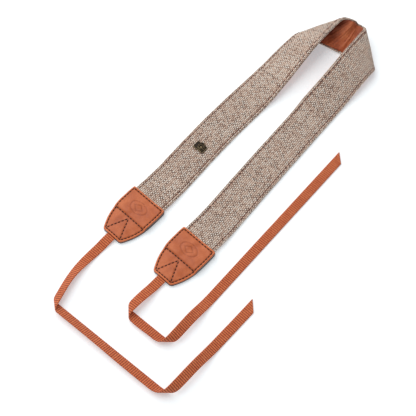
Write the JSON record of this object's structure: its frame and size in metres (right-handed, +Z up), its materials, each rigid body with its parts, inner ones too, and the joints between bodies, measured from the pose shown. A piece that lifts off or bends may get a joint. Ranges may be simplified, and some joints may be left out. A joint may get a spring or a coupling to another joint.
{
  "type": "camera neck strap",
  "caption": "Camera neck strap lying folded on a table: a flat padded tweed band lined with leather, leather end patches and narrow webbing tails.",
  "frame": {"origin": "middle of the strap's bounding box, on the table that it lies on", "axes": "+Y along the band's two arms, from the leather patches to the folded loop; +X from the left arm to the right arm; +Z up from the table"},
  "size_m": [0.175, 0.445, 0.0262],
  "materials": {
    "tweed": "coarse grey-brown tweed weave",
    "lining_leather": "smooth brown, half matt",
    "patch_leather": "smooth tan, half matt",
    "webbing": "ribbed tan webbing",
    "old_bronze": "dark antique bronze"
  },
  "bodies": {
    "root": {"band_face": "tweed", "band_backing": "lining_leather", "patch_front_left": "patch_leather", "patch_front_right": "patch_leather", "patch_back_left": "patch_leather", "patch_back_right": "patch_leather", "strap_left": "webbing", "strap_right": "webbing", "camera_stud": "old_bronze"}
  },
  "joints": []
}
